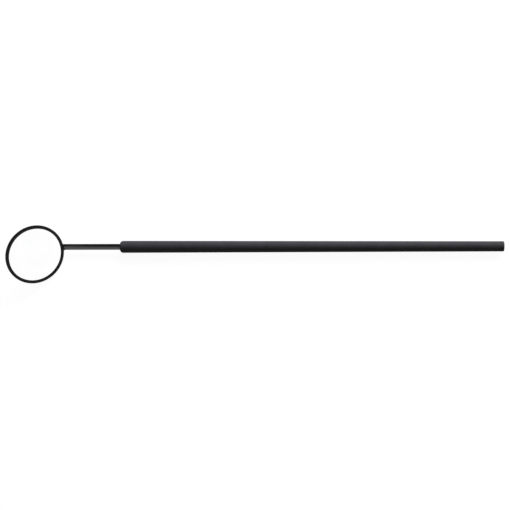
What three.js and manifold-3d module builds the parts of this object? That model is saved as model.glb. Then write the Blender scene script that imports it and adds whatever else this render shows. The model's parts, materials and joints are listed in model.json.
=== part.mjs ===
// Mouth mirror with a dissipative handle, as an assembly of separate solids. Millimetres, +Z up.
//
// The tool is drawn along its own axis first: X runs from the mirror towards the rear of the
// handle, X = 0 is the mouth of the handle, and the mirror is tipped up by BEND. It is then laid on
// a table as a dropped mirror lies, on its handle and one side of its rim. The origin is the middle
// of its bounding box, on the table.
import * as THREE from "three";
import { mergeVertices } from "three/addons/utils/BufferGeometryUtils.js";
import Module from "manifold-3d";

// Driving dimensions of the head.
const RIM_DIAMETER = 22; // the size the mirror is sold by
const RIM_LIP = 1.15; // how far the rim's front reaches in over the mirror
const RIM_WALL = 0.45; // between the rim's outside and the cup's
const RIM_WALL_HEIGHT = 0.44; // straight part of the rim's outside
const RIM_CORNER = 0.34; // rounding of the rim's outer edges
const LIP_THICKNESS = 0.2;
const LIP_EDGE = 0.12; // bevel of the lip's inner edge
const CUP_THICKNESS = 0.35; // pressed sheet
const CUP_CORNER = 0.9; // outside radius of the cup's back edge
const PAD_THICKNESS = 0.2;
const GLASS_THICKNESS = 0.85;
const GLASS_BEVEL = 0.12;
const COATING_THICKNESS = 0.06;
const SEAL_THICKNESS = 0.06;
const SEAL_SETBACK = 0.05; // of the seal's inner edge behind the lip's

// Driving dimensions of the stem and its screw.
const BEND = THREE.MathUtils.degToRad(42.5); // between the mirror's plane and the stem
const STEM_DIAMETER = 2.2;
const STEM_LENGTH = 22.92; // from the mouth of the handle to the rim
const STEM_DROP = 1; // how far behind the middle of the rim's outside the stem's axis meets it
const SPIGOT_DIAMETER = 1.16; // the stem's reduced end inside the screw
const FILLET_HEIGHT = 0.35; // how far the brazing stands out beside the stem, at the rim
const FILLET_LENGTH = 0.7;
const FILLET_EDGE = 0.03; // thickness of the brazing where it runs out on the stem
const THREAD_DIAMETER = 2.5; // M2.5 coarse
const THREAD_PITCH = 0.45;
const THREAD_TURNS = 10;
const THREAD_CHAMFER = 0.25;

// Driving dimensions of the handle.
const HANDLE_LENGTH = 137.15; // mouth to the flat of the rear plug
const HANDLE_FRONT_DIAMETER = 4.44;
const HANDLE_REAR_DIAMETER = 3.5;
const MOUTH_LAND = 0.2; // flat ring round the mouth
const NOSE_LENGTH = 1; // rounded front of the sleeve
const SLEEVE_WALL = 0.28;
const SLEEVE_LIP = 0.5; // thickness of the sleeve turned in over the front of the tube
const TUBE_WALL = 0.3;
const TUBE_FRONT_WALL = 0.12; // where the tube's front narrows inside the nose
const BUSH_LENGTH = 6;
const BUSH_WALL = 0.31;
const PLUG_FLANGE = 0.9;
const PLUG_CORNER = 0.35;
const PLUG_SPIGOT_LENGTH = 5;

// Clearances.
const LAYER_GAP = 0.03; // between pieces that lie on or in each other
const THREAD_CLEARANCE = 0.05; // round the screw in its bush
const SPIGOT_CLEARANCE = 0.04;
const MOUTH_CLEARANCE = 0.05; // outside the thread, where it leaves the sleeve

// Facets.
const HEAD_SIDES = 64;
const HANDLE_SIDES = 32;
const CORNER_STEPS = 4;

const wasm = await Module();
wasm.setup();

// ---------------------------------------------------------------- helpers

const point = (radius, height) => new THREE.Vector2(radius, height);

// Points of a quarter round about a centre, from one angle to another.
function arc(centreRadius, centreHeight, radius, from, to, steps = CORNER_STEPS) {
  return Array.from({ length: steps + 1 }, (_, i) => {
    const angle = from + ((to - from) * i) / steps;
    return point(centreRadius + radius * Math.cos(angle), centreHeight + radius * Math.sin(angle));
  });
}

// Solid of revolution about Z. The profile runs anticlockwise, and closes on the axis or on itself.
function turnedAboutZ(profile, sides) {
  const closed = profile[0].x === 0 ? profile : [...profile, profile[0].clone()];
  return new THREE.LatheGeometry(closed, sides).rotateX(Math.PI / 2);
}

// The same about X: a profile's height is its place along the tool's axis.
function turnedAboutX(profile, sides) {
  const closed = profile[0].x === 0 ? profile : [...profile, profile[0].clone()];
  return new THREE.LatheGeometry(closed, sides).rotateZ(-Math.PI / 2);
}

function toSolid(geometry) {
  const bare = geometry.clone();
  bare.deleteAttribute("normal");
  bare.deleteAttribute("uv");
  const merged = mergeVertices(bare, 1e-4);
  const vertProperties = merged.attributes.position.array;
  const triVerts = new Uint32Array(merged.index.array);
  return new wasm.Manifold(new wasm.Mesh({ numProp: 3, vertProperties, triVerts }));
}

function toGeometry(solid) {
  const mesh = solid.getMesh();
  const geometry = new THREE.BufferGeometry();
  const positions = new THREE.BufferAttribute(new Float32Array(mesh.vertProperties), 3);
  geometry.setAttribute("position", positions);
  geometry.setIndex(new THREE.BufferAttribute(new Uint32Array(mesh.triVerts), 1));
  return geometry;
}

function material(color, roughness, metalness) {
  return new THREE.MeshStandardMaterial({ color, roughness, metalness, flatShading: true });
}

function named(name, geometry, look) {
  const mesh = new THREE.Mesh(geometry, look);
  mesh.name = name;
  return mesh;
}

const looks = {
  blackEnamel: material(0x1b1b1d, 0.35, 0.2),
  darkSteel: material(0x3c3c3e, 0.3, 0.9),
  plainSteel: material(0xa8a9ab, 0.4, 1),
  mirror: material(0xf4f6f8, 0.02, 1),
  glass: material(0xdfeeea, 0.05, 0),
  card: material(0xb9a98a, 0.9, 0),
  seal: material(0x202020, 0.8, 0),
  brass: material(0xb8934a, 0.35, 1),
  dissipative: material(0x2b2b2f, 0.55, 0),
};

// ---------------------------------------------------------------- head, about its own Z axis

// Z = 0 is the middle of the rim's straight outside, and +Z is the way the mirror faces.
const rimRadius = RIM_DIAMETER / 2;
const openingRadius = rimRadius - RIM_LIP;
const cupRadius = rimRadius - RIM_WALL;
const cupBore = cupRadius - CUP_THICKNESS;
const glassRadius = cupBore - LAYER_GAP;
const rimTop = RIM_WALL_HEIGHT / 2 + RIM_CORNER;
const rimBottom = -rimTop;

// The stack under the lip, from the front to the back.
const lipUnderside = rimTop - LIP_THICKNESS;
const sealTop = lipUnderside - LAYER_GAP;
const coatingTop = sealTop - SEAL_THICKNESS - LAYER_GAP;
const glassTop = coatingTop - COATING_THICKNESS - LAYER_GAP;
const padTop = glassTop - GLASS_THICKNESS - LAYER_GAP;
const cupFloor = padTop - PAD_THICKNESS - LAYER_GAP;
const headBack = cupFloor - CUP_THICKNESS;

function rimRing() {
  const bore = cupRadius + LAYER_GAP;
  const profile = [
    point(bore, rimBottom),
    ...arc(rimRadius - RIM_CORNER, -RIM_WALL_HEIGHT / 2, RIM_CORNER, -Math.PI / 2, 0),
    ...arc(rimRadius - RIM_CORNER, RIM_WALL_HEIGHT / 2, RIM_CORNER, 0, Math.PI / 2),
    point(openingRadius + LIP_EDGE, rimTop),
    point(openingRadius, rimTop - LIP_EDGE),
    point(openingRadius, lipUnderside),
    point(bore, lipUnderside),
  ];
  return named("rim_ring", turnedAboutZ(profile, HEAD_SIDES), looks.blackEnamel);
}

function mirrorCup() {
  const insideCorner = CUP_CORNER - CUP_THICKNESS;
  const cornerHeight = headBack + CUP_CORNER;
  const profile = [
    point(0, headBack),
    ...arc(cupRadius - CUP_CORNER, cornerHeight, CUP_CORNER, -Math.PI / 2, 0),
    point(cupRadius, sealTop),
    point(cupBore, sealTop),
    ...arc(cupRadius - CUP_CORNER, cornerHeight, insideCorner, 0, -Math.PI / 2),
    point(0, cupFloor),
  ];
  return named("mirror_cup", turnedAboutZ(profile, HEAD_SIDES), looks.blackEnamel);
}

// A disc with an optional bevel on its upper and lower edge.
function disc(radius, bottom, top, bevel = 0) {
  const edge = bevel
    ? [
        point(radius - bevel, bottom),
        point(radius, bottom + bevel),
        point(radius, top - bevel),
        point(radius - bevel, top),
      ]
    : [point(radius, bottom), point(radius, top)];
  return turnedAboutZ([point(0, bottom), ...edge, point(0, top)], HEAD_SIDES);
}

function backingPad() {
  const radius = cupRadius - CUP_CORNER; // flat part of the cup's floor
  const geometry = disc(radius, padTop - PAD_THICKNESS, padTop);
  return named("backing_pad", geometry, looks.card);
}

function mirrorGlass() {
  const geometry = disc(glassRadius, glassTop - GLASS_THICKNESS, glassTop, GLASS_BEVEL);
  return named("mirror_glass", geometry, looks.glass);
}

function mirrorCoating() {
  const radius = glassRadius - GLASS_BEVEL;
  const geometry = disc(radius, coatingTop - COATING_THICKNESS, coatingTop);
  return named("mirror_coating", geometry, looks.mirror);
}

function sealRing() {
  const bottom = sealTop - SEAL_THICKNESS;
  const outer = cupBore - LAYER_GAP;
  const inner = openingRadius + SEAL_SETBACK;
  const profile = [
    point(inner, bottom),
    point(outer, bottom),
    point(outer, sealTop),
    point(inner, sealTop),
  ];
  return named("seal_ring", turnedAboutZ(profile, HEAD_SIDES), looks.seal);
}

// ---------------------------------------------------------------- stem, along the tool's axis

const stemRadius = STEM_DIAMETER / 2;
const rimContact = -STEM_LENGTH; // where the stem's axis meets the rim
const screwFront = SLEEVE_LIP + LAYER_GAP;
const screwLength = THREAD_TURNS * THREAD_PITCH;
const screwRear = screwFront + screwLength;
const spigotRadius = SPIGOT_DIAMETER / 2;

// The head's own frame in the tool's.
const headPlace = new THREE.Matrix4()
  .makeRotationY(BEND)
  .setPosition(
    rimContact - rimRadius * Math.cos(BEND) + STEM_DROP * Math.sin(BEND),
    0,
    rimRadius * Math.sin(BEND) + STEM_DROP * Math.cos(BEND),
  );

// All that the head, and the space behind it, take away from a piece that ends against it. The
// piece ends flush with the head's back, and fits round the cup's corner and under the rim.
function headCutter() {
  const reach = 4 * STEM_DIAMETER;
  const cornerHeight = headBack + CUP_CORNER;
  const corner = arc(cupRadius - CUP_CORNER, cornerHeight, CUP_CORNER + LAYER_GAP, -Math.PI / 3, 0);
  const profile = [
    point(0, headBack - reach),
    point(rimRadius + reach, headBack - reach),
    point(rimRadius + reach, headBack),
    point(corner[0].x, headBack),
    ...corner,
    point(cupRadius + LAYER_GAP, rimBottom - LAYER_GAP),
    point(rimRadius + LAYER_GAP, rimBottom - LAYER_GAP),
    point(rimRadius + LAYER_GAP, reach),
    point(0, reach),
  ];
  return toSolid(turnedAboutZ(profile, HEAD_SIDES).applyMatrix4(headPlace));
}

function stem(cutter) {
  const start = rimContact - 2 * STEM_DIAMETER;
  const profile = [
    point(0, start),
    point(stemRadius, start),
    point(stemRadius, screwFront - LAYER_GAP),
    point(spigotRadius, screwFront - LAYER_GAP),
    point(spigotRadius, screwRear),
    point(0, screwRear),
  ];
  const rough = toSolid(turnedAboutX(profile, HANDLE_SIDES));
  return named("stem", toGeometry(rough.subtract(cutter)), looks.darkSteel);
}

// A hollow fillet round the stem, sheared to follow the slant of the rim's side. The stem is flush
// with the head behind and level with the rim in front, so only the fillet's two sides are left.
function brazeFillet(name, side, cutter) {
  const steps = 6;
  const inner = stemRadius + LAYER_GAP;
  const start = -2 * STEM_DIAMETER;
  const hollow = Array.from({ length: steps + 1 }, (_, i) => {
    const share = i / steps;
    const height = 1 - Math.sqrt(1 - (1 - share) ** 2);
    return point(inner + FILLET_EDGE + (FILLET_HEIGHT - FILLET_EDGE) * height, FILLET_LENGTH * share);
  });
  const profile = [
    point(inner, start),
    point(inner + FILLET_HEIGHT, start),
    ...hollow,
    point(inner, FILLET_LENGTH),
  ];
  const slant = new THREE.Matrix4().makeShear(0, 0, 0, 0, Math.tan(BEND), 0);
  const collar = turnedAboutX(profile, HANDLE_SIDES).applyMatrix4(slant);
  const size = 4 * STEM_DIAMETER;
  const block = new THREE.BoxGeometry(2 * size, size, size);
  const above = toSolid(block.clone().translate(0, 0, size / 2 + stemRadius));
  const otherSide = toSolid(block.clone().translate(0, (-side * size) / 2, 0));
  const rough = toSolid(collar).subtract(above).subtract(otherSide).translate([rimContact, 0, 0]);
  return named(name, toGeometry(rough.subtract(cutter)), looks.blackEnamel);
}

// A right-hand thread about X with 60 degree flanks, from X = 0, with helical ends to be cut off.
function helix(turns) {
  const major = THREAD_DIAMETER / 2;
  const minor = major - 0.6134 * THREAD_PITCH;
  const outline = [
    [0, minor],
    [1 / 4, minor],
    [9 / 16, major],
    [11 / 16, major],
  ];
  const rows = turns * outline.length;
  const sides = HANDLE_SIDES;
  const positions = [];
  const at = (row, side) => row * sides + side;
  for (let row = 0; row < rows + outline.length; row++) {
    const [share, radius] = outline[row % outline.length];
    for (let side = 0; side < sides; side++) {
      const angle = (2 * Math.PI * side) / sides;
      const turn = Math.floor(row / outline.length) + share + side / sides;
      positions.push(turn * THREAD_PITCH, radius * Math.cos(angle), radius * Math.sin(angle));
    }
  }
  // The last side of a row meets the first side one turn further on.
  const next = (row, side) =>
    side + 1 < sides ? at(row, side + 1) : at(row + outline.length, 0);
  const faces = [];
  for (let row = 0; row < rows - 1; row++) {
    for (let side = 0; side < sides; side++) {
      const a = at(row, side);
      const b = at(row + 1, side);
      const c = next(row + 1, side);
      const d = next(row, side);
      faces.push(a, d, c, a, c, b);
    }
  }
  const rearCentre = positions.length / 3;
  positions.push(turns * THREAD_PITCH, 0, 0);
  const frontCentre = rearCentre + 1;
  positions.push(0, 0, 0);
  const last = rows - 1;
  for (let side = 0; side < sides; side++) {
    faces.push(frontCentre, next(0, side), at(0, side));
    faces.push(rearCentre, at(last, side), next(last, side));
  }
  // The steps where a helical end starts and stops.
  for (let row = 0; row < outline.length; row++) {
    faces.push(frontCentre, at(row, 0), at(row + 1, 0));
    faces.push(rearCentre, at(last + row + 1, 0), at(last + row, 0));
  }
  const geometry = new THREE.BufferGeometry();
  geometry.setAttribute("position", new THREE.Float32BufferAttribute(positions, 3));
  geometry.setIndex(faces);
  return geometry;
}

function stemScrew() {
  const major = THREAD_DIAMETER / 2;
  const bore = spigotRadius + SPIGOT_CLEARANCE;
  const profile = [
    point(bore, screwFront),
    point(major - THREAD_CHAMFER, screwFront),
    point(major, screwFront + THREAD_CHAMFER),
    point(major, screwRear - THREAD_CHAMFER),
    point(major - THREAD_CHAMFER, screwRear),
    point(bore, screwRear),
  ];
  const spareTurns = 2; // cut off at each end
  const threads = helix(THREAD_TURNS + 2 * spareTurns);
  threads.translate(screwFront - spareTurns * THREAD_PITCH, 0, 0);
  const envelope = toSolid(turnedAboutX(profile, HANDLE_SIDES));
  return named("stem_screw", toGeometry(toSolid(threads).intersect(envelope)), looks.plainSteel);
}

// ---------------------------------------------------------------- handle, along the tool's axis

const sleeveEnd = HANDLE_LENGTH - PLUG_FLANGE;
const frontRadius = HANDLE_FRONT_DIAMETER / 2;
const rearRadius = HANDLE_REAR_DIAMETER / 2;
const mouthRadius = THREAD_DIAMETER / 2 + MOUTH_CLEARANCE;
const bushBore = THREAD_DIAMETER / 2 + THREAD_CLEARANCE;
const bushRadius = bushBore + BUSH_WALL;

// Outside radius of the sleeve behind its nose.
function sleeveRadius(x) {
  return THREE.MathUtils.mapLinear(x, NOSE_LENGTH, sleeveEnd, frontRadius, rearRadius);
}
const tubeRadius = (x) => sleeveRadius(x) - SLEEVE_WALL - LAYER_GAP;
const tubeBore = (x) => tubeRadius(x) - TUBE_WALL;
const tubeFront = SLEEVE_LIP + LAYER_GAP;
const bushSeatRadius = bushRadius + LAYER_GAP;
const tubeFrontRadius = bushSeatRadius + TUBE_FRONT_WALL;

function gripSleeve() {
  const noseSteps = 5;
  const rise = frontRadius - mouthRadius - MOUTH_LAND;
  const nose = Array.from({ length: noseSteps + 1 }, (_, i) => {
    const angle = (Math.PI / 2) * (i / noseSteps);
    const radius = frontRadius - rise * (1 - Math.sin(angle));
    return point(radius, NOSE_LENGTH * (1 - Math.cos(angle)));
  });
  const inner = (x) => tubeRadius(x) + LAYER_GAP;
  const profile = [
    point(mouthRadius, 0),
    ...nose,
    point(rearRadius, sleeveEnd),
    point(inner(sleeveEnd), sleeveEnd),
    point(inner(NOSE_LENGTH), NOSE_LENGTH),
    point(tubeFrontRadius + LAYER_GAP, SLEEVE_LIP),
    point(mouthRadius, SLEEVE_LIP),
  ];
  return named("grip_sleeve", turnedAboutX(profile, HANDLE_SIDES), looks.dissipative);
}

function handleTube() {
  const bushShoulder = tubeFront + BUSH_LENGTH + LAYER_GAP;
  const profile = [
    point(bushSeatRadius, tubeFront),
    point(tubeFrontRadius, tubeFront),
    point(tubeRadius(NOSE_LENGTH), NOSE_LENGTH),
    point(tubeRadius(sleeveEnd), sleeveEnd),
    point(tubeBore(sleeveEnd), sleeveEnd),
    point(tubeBore(bushShoulder), bushShoulder),
    point(bushSeatRadius, bushShoulder),
  ];
  return named("handle_tube", turnedAboutX(profile, HANDLE_SIDES), looks.plainSteel);
}

function threadedBush() {
  const rear = tubeFront + BUSH_LENGTH;
  const profile = [
    point(bushBore, tubeFront),
    point(bushRadius, tubeFront),
    point(bushRadius, rear),
    point(bushBore, rear),
  ];
  return named("threaded_bush", turnedAboutX(profile, HANDLE_SIDES), looks.brass);
}

function rearPlug() {
  const spigot = tubeBore(sleeveEnd) - LAYER_GAP;
  const cornerFoot = HANDLE_LENGTH - PLUG_CORNER;
  const profile = [
    point(0, sleeveEnd - PLUG_SPIGOT_LENGTH),
    point(spigot, sleeveEnd - PLUG_SPIGOT_LENGTH),
    point(spigot, sleeveEnd + LAYER_GAP),
    point(rearRadius, sleeveEnd + LAYER_GAP),
    ...arc(rearRadius - PLUG_CORNER, cornerFoot, PLUG_CORNER, 0, Math.PI / 2),
    point(0, HANDLE_LENGTH),
  ];
  return named("rear_plug", turnedAboutX(profile, HANDLE_SIDES), looks.dissipative);
}

// ---------------------------------------------------------------- assembly

const head = new THREE.Group();
head.applyMatrix4(headPlace);
head.add(rimRing(), mirrorCup(), backingPad(), mirrorGlass(), mirrorCoating(), sealRing());

const handle = new THREE.Group();
handle.add(threadedBush(), handleTube(), gripSleeve(), rearPlug());

const cutter = headCutter();
const tool = new THREE.Group();
tool.add(head, stem(cutter), stemScrew(), handle);
tool.add(brazeFillet("braze_fillet_left", 1, cutter), brazeFillet("braze_fillet_right", -1, cutter));

// It lies on the underside of the tapering handle, so its axis leans by half the taper.
const lying = new THREE.Group();
lying.rotation.y = Math.atan((frontRadius - rearRadius) / (sleeveEnd - NOSE_LENGTH));
lying.add(tool);

function boxOf(object) {
  lying.updateMatrixWorld(true);
  return new THREE.Box3().setFromObject(object, true);
}

// It rolls about its axis until the rim comes down to the table too.
let tooLittle = 0;
let tooMuch = Math.PI / 2;
while (tooMuch - tooLittle > 1e-7) {
  tool.rotation.x = (tooLittle + tooMuch) / 2;
  if (boxOf(head).min.z > boxOf(handle).min.z) {
    tooLittle = tool.rotation.x;
  } else {
    tooMuch = tool.rotation.x;
  }
}

const box = boxOf(lying);
const middle = box.getCenter(new THREE.Vector3());
lying.position.set(-middle.x, -middle.y, -box.min.z);

const mouthMirror = new THREE.Group();
mouthMirror.add(lying);

export default mouthMirror;
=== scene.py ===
"""A mouth mirror lying on a pale table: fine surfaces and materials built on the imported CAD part.

Turned pieces are turned again from the outlines of their CAD nodes, with finer facets and broken
edges. Lengths are in metres, MM converts a size given in millimetres.
"""
import json
import math

import bmesh
import bpy
from mathutils import Matrix, Vector


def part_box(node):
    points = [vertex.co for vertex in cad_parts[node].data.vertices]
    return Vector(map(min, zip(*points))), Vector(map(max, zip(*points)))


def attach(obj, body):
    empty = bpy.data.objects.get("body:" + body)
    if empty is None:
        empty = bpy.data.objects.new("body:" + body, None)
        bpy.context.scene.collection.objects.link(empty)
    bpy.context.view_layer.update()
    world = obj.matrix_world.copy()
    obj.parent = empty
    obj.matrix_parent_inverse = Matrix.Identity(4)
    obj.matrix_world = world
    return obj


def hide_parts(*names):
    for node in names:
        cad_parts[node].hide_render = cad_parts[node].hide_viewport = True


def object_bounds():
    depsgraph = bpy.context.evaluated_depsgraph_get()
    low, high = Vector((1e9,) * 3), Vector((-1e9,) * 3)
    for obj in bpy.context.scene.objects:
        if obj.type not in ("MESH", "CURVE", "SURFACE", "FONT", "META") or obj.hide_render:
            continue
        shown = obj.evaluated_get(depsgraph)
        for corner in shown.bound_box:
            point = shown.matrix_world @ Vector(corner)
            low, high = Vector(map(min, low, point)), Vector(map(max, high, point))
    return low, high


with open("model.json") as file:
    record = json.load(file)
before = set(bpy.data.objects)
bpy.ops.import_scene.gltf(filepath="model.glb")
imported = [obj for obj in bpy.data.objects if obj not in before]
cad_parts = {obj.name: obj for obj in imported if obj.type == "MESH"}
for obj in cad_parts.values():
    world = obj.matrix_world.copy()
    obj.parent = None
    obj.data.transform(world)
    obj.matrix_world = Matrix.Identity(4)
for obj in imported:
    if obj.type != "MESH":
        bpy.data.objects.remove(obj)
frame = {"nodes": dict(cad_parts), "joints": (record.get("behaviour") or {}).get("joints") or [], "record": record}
cad_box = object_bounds()

MM = 0.001

# Facets and edges of the fine meshes.
HEAD_SIDES = 256
HANDLE_SIDES = 128
EDGE_BREAK = 0.02 * MM  # rounding of edges that the CAD leaves sharp
SHARP_TURN = math.radians(46)  # an outline that turns more than this has an edge there
SHARP_FACETS = math.radians(32)  # facets that meet at more than this are shaded as an edge
STRAIGHT_RATIO = 2.5  # a stretch this much longer than the next one is straight, not an arc
FLAT_ARC = 0.002  # radians; an arc that bends less than this isn't made finer
ARC_STEPS = 4
STEM_EDGE = 0.03 * MM

# The bead of brazing. Lengths are in millimetres here, the volume in cubic millimetres.
BRAZED_NODES = ("braze_fillet_left", "braze_fillet_right")
BEAD_REACH = 1.9  # radius round the joint in which metal counts
BEAD_FILL = 0.4  # how far the metal is swollen
BEAD_SINK = 0.02  # how much further it is shrunk again
BEAD_VOXEL = 0.045
BEAD_FINE_VOXEL = 0.03
BEAD_SOFTENING = 10
BEAD_LAST_SOFTENING = 3
BEAD_SMALLEST = 0.01  # volume of the smallest lump that is kept

# The screw's thread, standard M2.5.
THREAD_PITCH = 0.45 * MM
THREAD_DEPTH = 0.6134 * THREAD_PITCH
THREAD_ROWS_PER_TURN = 20
THREAD_SIDES = 96
THREAD_CHAMFER = 0.25 * MM
CREST_SHARE = 0.14  # part of half a pitch that is flat crest
FLANK_SHARE = 0.62  # part of half a pitch that is flank

# The camera. Its aim is measured from the middle of the object's box, its distance from its aim.
CAMERA_AZIMUTH = math.radians(-54.782)
CAMERA_ELEVATION = math.radians(72.064)
CAMERA_ROLL = math.radians(-33.919)
CAMERA_DISTANCE = 303.06 * MM
CAMERA_AIM = Vector((2.62, -0.22, 0.0)) * MM
CAMERA_LENS = 60.97

# The light.
TABLE_REACH = 3.0
TABLE_GLOW = 0.95
TABLE_GLOW_FAR = 1.0
GLOW_NEAR_DISTANCE = 0.15
GLOW_FAR_DISTANCE = 0.5
KEY_SIZE = 0.9
KEY_DISTANCE = 0.9
KEY_ELEVATION = math.radians(24)
KEY_POWER = 46.0
KEY_AZIMUTH = math.radians(66)
CARD_REACH = math.radians(20)
CARD_FADE = math.radians(8)
CARD_LEVEL = 1.05
ENDS_START = 0.45  # sine of the angle to the plane across the handle
ENDS_FULL = 0.75
ENDS_LEVEL = 0.7
# Levels round the object: 0.25 is straight towards -Y, 0.5 straight down, 0.75 straight towards +Y.
BANDS = (
    (0.0, 0.05),
    (1.0, 0.05),
    (0.09, 0.15),
    (0.2, 0.19),
    (0.3, 0.23),
    (0.42, 0.26),
    (0.62, 0.09),
    (0.72, 0.04),
    (0.85, 0.015),
    (0.94, 0.015),
)


# ---------------------------------------------------------------- the frame's own places

joints = {joint["name"]: joint for joint in frame["joints"]}
mounts = {mount["name"]: mount for mount in frame["record"]["mounts"]}

MOUTH = Vector(joints["head_turn"]["pos_m"])  # where the stem enters the handle
ALONG = -Vector(joints["head_turn"]["axis"]).normalized()  # towards the handle's rear
HEAD_BACK = Vector(mounts["cup_back"]["pos_m"])
FACING = -Vector(mounts["cup_back"]["axis"]).normalized()  # the way the mirror faces


# ---------------------------------------------------------------- outlines and turned meshes

def meridian(node, origin, axis):
    """The outline of a turned CAD node: (radius, station) pairs in order, and if it is a loop."""
    mesh = frame["nodes"][node].data
    places = []
    for vertex in mesh.vertices:
        arm = vertex.co - origin
        station = arm.dot(axis)
        outward = arm - station * axis
        places.append((outward.length, station, outward))
    reference = max(places, key=lambda place: place[0])[2].normalized()
    keys = {}
    for index, (radius, station, outward) in enumerate(places):
        if radius < 1e-6 or outward.normalized().dot(reference) > 0.99999:
            keys[index] = (round(max(radius, 0.0), 7) if radius > 1e-6 else 0.0, round(station, 7))
    neighbours = {}
    for edge in mesh.edges:
        first, second = (keys.get(v) for v in edge.vertices)
        if first and second and first != second:
            neighbours.setdefault(first, set()).add(second)
            neighbours.setdefault(second, set()).add(first)
    ends = sorted(key for key, near in neighbours.items() if len(near) == 1)
    here = ends[0] if ends else min(neighbours)
    outline, seen = [here], {here}
    while True:
        onward = [key for key in sorted(neighbours[here]) if key not in seen]
        if not onward:
            break
        here = onward[0]
        outline.append(here)
        seen.add(here)
    return [Vector(key) for key in outline], not ends


def turn_at(before, here, after):
    return (here - before).angle(after - here, 0.0)


def tangent_at(before, here, after):
    """The outline's direction where it runs on smoothly: a straight stretch wins over an arc."""
    back, onward = here - before, after - here
    if back.length > STRAIGHT_RATIO * onward.length:
        return back.normalized()
    if onward.length > STRAIGHT_RATIO * back.length:
        return onward.normalized()
    return (back.normalized() + onward.normalized()).normalized()


def refined(outline, loop):
    """The outline with its arcs made finer and its sharp corners rounded."""
    count = len(outline)

    def at(index):
        return outline[index % count] if loop else outline[min(max(index, 0), count - 1)]

    def is_corner(index):
        if not loop and index in (0, count - 1):
            return False
        return turn_at(at(index - 1), at(index), at(index + 1)) > SHARP_TURN

    points = []
    for index in range(count):
        here, before, after = at(index), at(index - 1), at(index + 1)
        if is_corner(index):
            reach = min(EDGE_BREAK, 0.3 * (here - before).length, 0.3 * (after - here).length)
            start = here + (before - here).normalized() * reach
            end = here + (after - here).normalized() * reach
            points.append(start + (before - here).normalized() * reach)
            for step in range(ARC_STEPS + 1):
                share = step / ARC_STEPS
                points.append(start.lerp(here, share).lerp(here.lerp(end, share), share))
            points.append(end + (after - here).normalized() * reach)
        else:
            points.append(here.copy())
        if not loop and index == count - 1:
            break
        curved = not is_corner(index) and not is_corner(index + 1)
        inner = loop or 0 < index < count - 2
        if curved and inner:
            onward = at(index + 2)
            chord = after - here
            leave = tangent_at(before, here, after)
            arrive = tangent_at(here, after, onward)
            if max(leave.angle(chord, 0.0), arrive.angle(chord, 0.0)) < FLAT_ARC:
                continue
            for step in range(1, ARC_STEPS):
                t = step / ARC_STEPS
                points.append(
                    here * (2 * t**3 - 3 * t**2 + 1)
                    + leave * chord.length * (t**3 - 2 * t**2 + t)
                    + after * (3 * t**2 - 2 * t**3)
                    + arrive * chord.length * (t**3 - t**2)
                )
    return points


def crossways(axis):
    """Two directions at right angles to an axis and to each other."""
    first = axis.orthogonal().normalized()
    return first, axis.cross(first).normalized()


def finish_mesh(name, mesh):
    """An object made of a mesh, with its faces out and smooth, and its edges sharp."""
    work = bmesh.new()
    work.from_mesh(mesh)
    bmesh.ops.recalc_face_normals(work, faces=work.faces)
    work.to_mesh(mesh)
    work.free()
    mesh.polygons.foreach_set("use_smooth", [True] * len(mesh.polygons))
    mesh.set_sharp_from_angle(angle=SHARP_FACETS)
    piece = bpy.data.objects.new(name, mesh)
    bpy.context.scene.collection.objects.link(piece)
    return piece


def ringed(name, rings, origin, axis, loop):
    """A closed mesh through rings, each a list of (radius, station) all round the axis.

    A ring of one pair is a point on the axis. A loop joins the last ring to the first."""
    first, second = crossways(axis)
    vertices, rows = [], []
    for ring in rings:
        row = []
        for side, (radius, station) in enumerate(ring):
            angle = 2 * math.pi * side / len(ring)
            outward = first * math.cos(angle) + second * math.sin(angle)
            row.append(len(vertices))
            vertices.append(origin + axis * station + outward * radius)
        rows.append(row)
    faces = []
    pairs = list(zip(rows, rows[1:]))
    if loop:
        pairs.append((rows[-1], rows[0]))
    for low, high in pairs:
        sides = max(len(low), len(high))
        for side in range(sides):
            onward = (side + 1) % sides
            if len(low) == 1:
                faces.append((low[0], high[onward], high[side]))
            elif len(high) == 1:
                faces.append((low[side], low[onward], high[0]))
            else:
                faces.append((low[side], low[onward], high[onward], high[side]))
    mesh = bpy.data.meshes.new(name)
    mesh.from_pydata(vertices, [], faces)
    return finish_mesh(name, mesh)


def turned(name, node, origin, axis, sides):
    """A fine copy of a turned CAD node."""
    outline, loop = meridian(node, origin, axis)
    rings = []
    for radius, station in refined(outline, loop):
        rings.append([(radius, station)] * (sides if radius > 1e-7 else 1))
    return ringed(name, rings, origin, axis, loop)


def rounded_copy(name, node, width):
    """A copy of a cut CAD node with its facets joined up and its edges rounded."""
    mesh = frame["nodes"][node].data.copy()
    mesh.name = name
    work = bmesh.new()
    work.from_mesh(mesh)
    bmesh.ops.remove_doubles(work, verts=work.verts, dist=0.001 * MM)
    bmesh.ops.dissolve_limit(work, angle_limit=math.radians(1), verts=work.verts, edges=work.edges)
    work.to_mesh(mesh)
    work.free()
    piece = finish_mesh(name, mesh)
    bevel = piece.modifiers.new("edges", "BEVEL")
    bevel.width = width
    bevel.segments = 3
    bevel.angle_limit = SHARP_FACETS
    bevel.use_clamp_overlap = True
    return piece


# ---------------------------------------------------------------- materials

def new_material(name):
    material = bpy.data.materials.new(name)
    material.use_nodes = True
    nodes = material.node_tree.nodes
    shader = nodes.get("Principled BSDF")
    return material, nodes, material.node_tree.links, shader


def noise(nodes, links, scale, detail=3.0, stretch=(1, 1, 1)):
    """Noise in the object's own coordinates, scale in features per metre."""
    place = nodes.new("ShaderNodeTexCoord")
    mapping = nodes.new("ShaderNodeMapping")
    mapping.inputs["Scale"].default_value = stretch
    texture = nodes.new("ShaderNodeTexNoise")
    texture.inputs["Scale"].default_value = scale
    texture.inputs["Detail"].default_value = detail
    links.new(place.outputs["Object"], mapping.inputs["Vector"])
    links.new(mapping.outputs["Vector"], texture.inputs["Vector"])
    return texture.outputs["Fac"]


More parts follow.
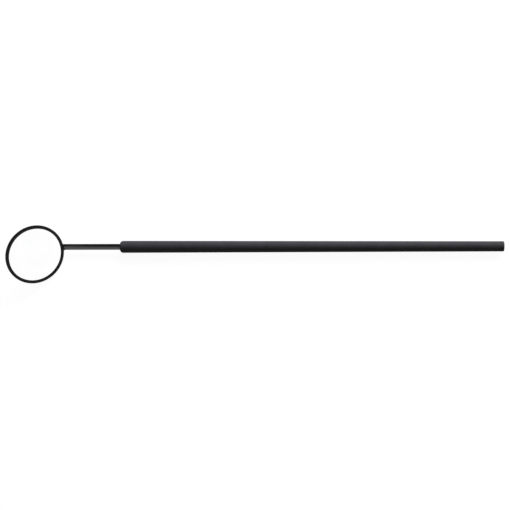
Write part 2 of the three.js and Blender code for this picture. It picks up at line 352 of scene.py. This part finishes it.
def ramp(nodes, links, source, low, high, start=0.3, end=0.7):
    """Turns noise into a colour or a grey between two values."""

    def as_colour(value):
        return (*value, 1) if hasattr(value, "__len__") else (value, value, value, 1)

    node = nodes.new("ShaderNodeValToRGB")
    node.color_ramp.elements[0].position = start
    node.color_ramp.elements[1].position = end
    node.color_ramp.elements[0].color = as_colour(low)
    node.color_ramp.elements[1].color = as_colour(high)
    links.new(source, node.inputs["Fac"])
    return node.outputs["Color"]


def bump(nodes, links, shader, source, height, strength=1.0):
    node = nodes.new("ShaderNodeBump")
    node.inputs["Strength"].default_value = strength
    node.inputs["Distance"].default_value = height
    links.new(source, node.inputs["Height"])
    links.new(node.outputs["Normal"], shader.inputs["Normal"])


def surface(
    name,
    colours,
    roughness,
    metallic=0.0,
    grain=0.1,
    height=0.002,
    stretch=(1, 1, 1),
    specular=0.5,
    strength=0.5,
):
    """A surface whose colour and roughness drift a little, with a fine grain in millimetres."""
    material, nodes, links, shader = new_material(name)
    shader.inputs["Metallic"].default_value = metallic
    shader.inputs["Specular IOR Level"].default_value = specular
    drift = noise(nodes, links, 1 / (4 * MM), 4.0, stretch)
    fine = noise(nodes, links, 1 / (grain * MM), 2.0, stretch)
    links.new(ramp(nodes, links, drift, *colours), shader.inputs["Base Color"])
    links.new(ramp(nodes, links, drift, *roughness), shader.inputs["Roughness"])
    bump(nodes, links, shader, fine, height * MM, strength)
    return material


def plastic_material():
    return surface(
        "matt_black_plastic",
        ((0.0175, 0.0170, 0.0193), (0.0215, 0.0210, 0.0236)),
        (0.56, 0.66),
        grain=0.09,
        height=0.004,
        specular=0.16,
    )


def coating_material():
    return surface(
        "satin_black_coating",
        ((0.0018, 0.0018, 0.0019), (0.0030, 0.0030, 0.0031)),
        (0.3, 0.42),
        grain=0.05,
        height=0.002,
        specular=0.16,
    )


def drawn_steel_material():
    return surface(
        "dark_drawn_steel",
        ((0.36, 0.36, 0.365), (0.44, 0.44, 0.445)),
        (0.14, 0.22),
        metallic=1.0,
        grain=0.03,
        height=0.001,
        stretch=(0.04, 1, 1),
    )


def plain_steel_material():
    return surface(
        "machined_steel",
        ((0.42, 0.42, 0.43), (0.55, 0.55, 0.56)),
        (0.22, 0.34),
        metallic=1.0,
        grain=0.05,
        height=0.001,
    )


def brass_material():
    return surface(
        "turned_brass",
        ((0.5, 0.34, 0.12), (0.62, 0.43, 0.17)),
        (0.25, 0.38),
        metallic=1.0,
        grain=0.05,
        height=0.001,
    )


def mirror_material():
    return surface(
        "mirror_coating",
        ((0.93, 0.93, 0.94), (0.95, 0.95, 0.955)),
        (0.01, 0.02),
        metallic=1.0,
        grain=2.0,
        height=0.00001,
    )


def glass_material():
    material, nodes, links, shader = new_material("edge_ground_glass")
    shader.inputs["Transmission Weight"].default_value = 1.0
    shader.inputs["IOR"].default_value = 1.52
    drift = noise(nodes, links, 1 / (2 * MM), 2.0)
    tint = ramp(nodes, links, drift, (0.82, 0.92, 0.88), (0.88, 0.95, 0.92))
    links.new(tint, shader.inputs["Base Color"])
    links.new(ramp(nodes, links, drift, 0.05, 0.12), shader.inputs["Roughness"])
    return material


def pad_material():
    return surface("soft_pad", ((0.35, 0.31, 0.24), (0.45, 0.4, 0.31)), (0.8, 0.9), grain=0.1)


def seal_material():
    return surface(
        "black_seal", ((0.008, 0.008, 0.008), (0.014, 0.014, 0.014)), (0.5, 0.65), grain=0.08
    )


# ---------------------------------------------------------------- pieces

def paint(piece, material):
    piece.data.materials.clear()
    piece.data.materials.append(material)


def place(piece, body, slot, material, *nodes):
    """Gives a new piece its material and its body, and hides the CAD nodes that it stands for."""
    paint(piece, material)
    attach(piece, body)
    if nodes:
        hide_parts(*nodes)
    return piece


def turned_head_piece(name, node, slot, material):
    piece = turned(name, node, HEAD_BACK, FACING, HEAD_SIDES)
    return place(piece, "mirror_head", slot, material, node)


def turned_handle_piece(name, node, slot, material):
    piece = turned(name, node, MOUTH, ALONG, HANDLE_SIDES)
    return place(piece, "handle", slot, material, node)


def reach_of(node):
    """A CAD node's first and last station along the handle, and its radii, least and most."""
    stations, radii = [], []
    for vertex in frame["nodes"][node].data.vertices:
        arm = vertex.co - MOUTH
        station = arm.dot(ALONG)
        stations.append(station)
        radii.append((arm - ALONG * station).length)
    return min(stations), max(stations), min(radii), max(radii)


def screw_thread(material):
    """The screw, with a thread of rounded crests that fades out at both ends."""
    front, rear, bore, crest = reach_of("stem_screw")
    rows = round((rear - front) / THREAD_PITCH * THREAD_ROWS_PER_TURN)

    def radius_at(station, side):
        phase = (station - front) / THREAD_PITCH - side / THREAD_SIDES
        ridge = abs(2 * (phase % 1.0) - 1)  # 1 at the middle of a root, 0 at the middle of a crest
        share = min(max((ridge - CREST_SHARE) / FLANK_SHARE, 0.0), 1.0)
        thread = crest - THREAD_DEPTH * share * share * (3 - 2 * share)
        to_end = min(station - front, rear - station)
        return min(thread, crest - THREAD_CHAMFER + to_end)

    rings = [[(bore, front)] * THREAD_SIDES]
    for row in range(rows + 1):
        station = front + (rear - front) * row / rows
        rings.append([(radius_at(station, side), station) for side in range(THREAD_SIDES)])
    rings.append([(bore, rear)] * THREAD_SIDES)
    piece = ringed("screw_thread", rings, MOUTH, ALONG, True)
    return place(piece, "screw", "plain_steel", material, "stem_screw")


def scratch_object(name, mesh):
    piece = bpy.data.objects.new(name, mesh)
    bpy.context.scene.collection.objects.link(piece)
    return piece


def settled(piece):
    """The mesh that a piece's modifiers make."""
    depsgraph = bpy.context.evaluated_depsgraph_get()
    return bpy.data.meshes.new_from_object(piece.evaluated_get(depsgraph))


def in_millimetres(piece):
    """A scratch copy of a piece, larger by a thousand: a voxel may not be finer than 0.1 mm."""
    mesh = settled(piece)
    mesh.transform(Matrix.Scale(1 / MM, 4))
    return scratch_object("scratch", mesh)


def boolean(piece, operation, other):
    """The manifold solver, because the exact one leaves nothing of the bead."""
    cut = piece.modifiers.new(operation.lower(), "BOOLEAN")
    cut.operation = operation
    cut.solver = "MANIFOLD"
    cut.object = other


def voxelled(piece, size):
    fuse = piece.modifiers.new("voxels", "REMESH")
    fuse.mode = "VOXEL"
    fuse.voxel_size = size


def softened(piece, iterations):
    soften = piece.modifiers.new("soften", "SMOOTH")
    soften.factor = 0.5
    soften.iterations = iterations


def swollen(piece, distance):
    """Moves a piece's skin outwards, or inwards if the distance is below nothing."""
    move = piece.modifiers.new("swell", "DISPLACE")
    move.strength = distance
    move.mid_level = 0.0


def scratch_ball(centre, radius):
    ball = bpy.data.meshes.new("ball")
    work = bmesh.new()
    bmesh.ops.create_icosphere(
        work, subdivisions=5, radius=radius, matrix=Matrix.Translation(centre)
    )
    work.to_mesh(ball)
    work.free()
    return scratch_object("ball", ball)


def keep_lumps(mesh, smallest):
    """Drops the crumbs of a mesh: separate lumps of less than a volume."""
    work = bmesh.new()
    work.from_mesh(mesh)
    waiting = set(work.verts)
    while waiting:
        lump, frontier = set(), [waiting.pop()]
        while frontier:
            vertex = frontier.pop()
            lump.add(vertex)
            for link in vertex.link_edges:
                other = link.other_vert(vertex)
                if other in waiting:
                    waiting.remove(other)
                    frontier.append(other)
        faces = {face for vertex in lump for face in vertex.link_faces}
        volume = 0.0
        for face in faces:
            corners = [vertex.co for vertex in face.verts]
            for second, third in zip(corners[1:], corners[2:]):
                volume += corners[0].dot(second.cross(third)) / 6
        if abs(volume) < smallest:
            bmesh.ops.delete(work, geom=list(lump), context="VERTS")
    work.to_mesh(mesh)
    work.free()


def brazing(material, *neighbours):
    """The bead of brazing where the stem meets the head. The metal near the joint is fused, swollen
    and shrunk again, which fills the corners. Then the metal itself is cut away, and a finer set of
    voxels closes what the cut leaves open."""
    corners = [corner for node in BRAZED_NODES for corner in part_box(node)]
    low = Vector(min(corner[i] for corner in corners) for i in range(3))
    high = Vector(max(corner[i] for corner in corners) for i in range(3))
    ball = scratch_ball((low + high) / 2 / MM, BEAD_REACH)
    whole = [in_millimetres(neighbour) for neighbour in neighbours]
    work = bmesh.new()
    for copy in whole:
        boolean(copy, "INTERSECT", ball)
        work.from_mesh(settled(copy))
        copy.modifiers.clear()
    fused = bpy.data.meshes.new("fused")
    work.to_mesh(fused)
    work.free()
    fused = scratch_object("fused", fused)
    for distance in (BEAD_FILL, -BEAD_FILL - BEAD_SINK):
        voxelled(fused, BEAD_VOXEL)
        softened(fused, BEAD_SOFTENING)
        swollen(fused, distance)
    softened(fused, BEAD_SOFTENING)
    for copy in whole:
        boolean(fused, "DIFFERENCE", copy)
    voxelled(fused, BEAD_FINE_VOXEL)
    softened(fused, BEAD_LAST_SOFTENING)
    mesh = settled(fused)
    keep_lumps(mesh, BEAD_SMALLEST)
    mesh.transform(Matrix.Scale(MM, 4))
    for scratch in (*whole, ball, fused):
        bpy.data.objects.remove(scratch, do_unlink=True)
    mesh.name = "brazing"
    piece = finish_mesh("brazing", mesh)
    return place(piece, "mirror_head", "black_coating", material, *BRAZED_NODES)


steel = drawn_steel_material()
machined = plain_steel_material()
coating = coating_material()
plastic = plastic_material()

rim = turned_head_piece("rolled_rim", "rim_ring", "black_coating", coating)
cup = turned_head_piece("pressed_cup", "mirror_cup", "black_coating", coating)
turned_head_piece("reflecting_face", "mirror_coating", "mirror", mirror_material())
turned_head_piece("sealing_bead", "seal_ring", "seal", seal_material())
stem_piece = rounded_copy("drawn_stem", "stem", STEM_EDGE)
place(stem_piece, "mirror_head", "dark_steel", steel, "stem")
brazing(coating, stem_piece, rim, cup)
screw_thread(machined)
turned_handle_piece("moulded_sleeve", "grip_sleeve", "black_plastic", plastic)
turned_handle_piece("moulded_plug", "rear_plug", "black_plastic", plastic)

# Inner pieces keep their CAD shapes.
paint(frame["nodes"]["mirror_glass"], glass_material())
paint(frame["nodes"]["backing_pad"], pad_material())
paint(frame["nodes"]["threaded_bush"], brass_material())
paint(frame["nodes"]["handle_tube"], machined)


# ---------------------------------------------------------------- table, light and camera

def table():
    """A glowing pale table. Its glow hides all but the faintest shadow. The object doesn't see it:
    what would be its light on the object comes from the surroundings."""
    mesh = bpy.data.meshes.new("table")
    low = cad_box[0][2]
    corners = [
        (-TABLE_REACH, -TABLE_REACH, low),
        (TABLE_REACH, -TABLE_REACH, low),
        (TABLE_REACH, TABLE_REACH, low),
        (-TABLE_REACH, TABLE_REACH, low),
    ]
    mesh.from_pydata(corners, [], [(0, 1, 2, 3)])
    floor = bpy.data.objects.new("table", mesh)
    bpy.context.scene.collection.objects.link(floor)
    material, nodes, links, shader = new_material("pale_table")
    drift = noise(nodes, links, 40.0, 2.0)
    tone = ramp(nodes, links, drift, (0.038, 0.038, 0.038), (0.042, 0.042, 0.042))
    links.new(tone, shader.inputs["Base Color"])
    shader.inputs["Roughness"].default_value = 0.9
    shader.inputs["Specular IOR Level"].default_value = 0.0
    shader.inputs["Emission Color"].default_value = (1, 1, 1, 1)
    place = nodes.new("ShaderNodeTexCoord")
    away = nodes.new("ShaderNodeVectorMath")
    away.operation = "LENGTH"
    links.new(place.outputs["Object"], away.inputs[0])
    glow = nodes.new("ShaderNodeMapRange")
    glow.inputs["From Min"].default_value = GLOW_NEAR_DISTANCE
    glow.inputs["From Max"].default_value = GLOW_FAR_DISTANCE
    glow.inputs["To Min"].default_value = TABLE_GLOW
    glow.inputs["To Max"].default_value = TABLE_GLOW_FAR
    links.new(away.outputs["Value"], glow.inputs["Value"])
    links.new(glow.outputs["Result"], shader.inputs["Emission Strength"])
    paint(floor, material)
    floor.visible_diffuse = False
    floor.visible_glossy = False
    floor.visible_shadow = False


def key_light():
    """A big soft lamp low on one side. It has no reflection of its own, so that metal stays dark."""
    light = bpy.data.lights.new("key", "AREA")
    light.shape = "DISK"
    light.size = KEY_SIZE
    light.energy = KEY_POWER
    lamp = bpy.data.objects.new("key", light)
    flat = math.cos(KEY_ELEVATION)
    outward = Vector(
        (flat * math.cos(KEY_AZIMUTH), flat * math.sin(KEY_AZIMUTH), math.sin(KEY_ELEVATION))
    )
    lamp.location = outward * KEY_DISTANCE
    lamp.rotation_euler = outward.to_track_quat("Z", "Y").to_euler()
    lamp.visible_camera = False
    lamp.visible_glossy = False
    bpy.context.scene.collection.objects.link(lamp)


def surroundings():
    """White to the camera. To the object, light goes round it in bands from dark on the key's side,
    through the top, to pale below on the other side. It is bright beyond the object's two ends, and
    one bright card is placed where the mirror reflects it to the camera."""
    world = bpy.data.worlds.new("studio")
    world.use_nodes = True
    nodes, links = world.node_tree.nodes, world.node_tree.links
    background = nodes["Background"]

    def maths(operation, first, second=None):
        node = nodes.new("ShaderNodeMath")
        node.operation = operation
        for socket, value in zip(node.inputs, (first, second)):
            if hasattr(value, "links"):
                links.new(value, socket)
            elif value is not None:
                socket.default_value = value
        return node.outputs["Value"]

    way = nodes.new("ShaderNodeTexCoord").outputs["Generated"]
    split = nodes.new("ShaderNodeSeparateXYZ")
    links.new(way, split.inputs["Vector"])
    # The angle about the handle: 0 straight down, a quarter turn on the key's side, a half turn
    # straight up. The bands start straight up instead, so half a turn is added.
    angle = maths("ARCTAN2", split.outputs["Y"], maths("MULTIPLY", split.outputs["Z"], -1.0))
    share = maths("ADD", maths("DIVIDE", angle, 2 * math.pi), 0.5)
    bands = nodes.new("ShaderNodeValToRGB")
    for index, (place, level) in enumerate(BANDS):
        if index < 2:
            stop = bands.color_ramp.elements[index]
            stop.position = place
        else:
            stop = bands.color_ramp.elements.new(place)
        stop.color = (level, level, level, 1)
    links.new(share, bands.inputs["Fac"])

    toward = nodes.new("ShaderNodeVectorMath")
    toward.operation = "DOT_PRODUCT"
    links.new(way, toward.inputs[0])
    toward.inputs[1].default_value = card_direction()
    card = nodes.new("ShaderNodeMapRange")
    card.interpolation_type = "SMOOTHSTEP"
    card.inputs["From Min"].default_value = math.cos(CARD_REACH + CARD_FADE)
    card.inputs["From Max"].default_value = math.cos(CARD_REACH)
    card.inputs["To Max"].default_value = CARD_LEVEL
    links.new(toward.outputs["Value"], card.inputs["Value"])
    ends = nodes.new("ShaderNodeMapRange")
    ends.interpolation_type = "SMOOTHSTEP"
    ends.inputs["From Min"].default_value = ENDS_START
    ends.inputs["From Max"].default_value = ENDS_FULL
    ends.inputs["To Max"].default_value = ENDS_LEVEL
    links.new(maths("ABSOLUTE", split.outputs["X"]), ends.inputs["Value"])
    level = maths("MAXIMUM", bands.outputs["Color"], card.outputs["Result"])
    level = maths("MAXIMUM", level, ends.outputs["Result"])
    to_camera = nodes.new("ShaderNodeLightPath").outputs["Is Camera Ray"]
    links.new(maths("MAXIMUM", level, to_camera), background.inputs["Strength"])
    background.inputs["Color"].default_value = (1, 1, 1, 1)
    bpy.context.scene.world = world


def camera_direction():
    flat = math.cos(CAMERA_ELEVATION)
    return Vector(
        (
            flat * math.cos(CAMERA_AZIMUTH),
            flat * math.sin(CAMERA_AZIMUTH),
            math.sin(CAMERA_ELEVATION),
        )
    )


def camera_place():
    middle = (Vector(cad_box[0]) + Vector(cad_box[1])) / 2
    return middle + CAMERA_AIM + camera_direction() * CAMERA_DISTANCE


def card_direction():
    """The way the mirror sends the camera's line of sight."""
    sight = (HEAD_BACK - camera_place()).normalized()
    return sight - 2 * sight.dot(FACING) * FACING


def camera():
    lens = bpy.data.cameras.new("camera")
    lens.sensor_width = 36.0
    lens.lens = CAMERA_LENS
    lens.clip_start = 0.01
    lens.dof.use_dof = False
    eye = bpy.data.objects.new("camera", lens)
    turn = camera_direction().to_track_quat("Z", "Y").to_matrix().to_4x4()
    roll = Matrix.Rotation(CAMERA_ROLL, 4, "Z")
    eye.matrix_world = Matrix.Translation(camera_place()) @ turn @ roll
    bpy.context.scene.collection.objects.link(eye)
    bpy.context.scene.camera = eye


table()
surroundings()
key_light()
camera()
bpy.context.scene.view_settings.view_transform = "Standard"
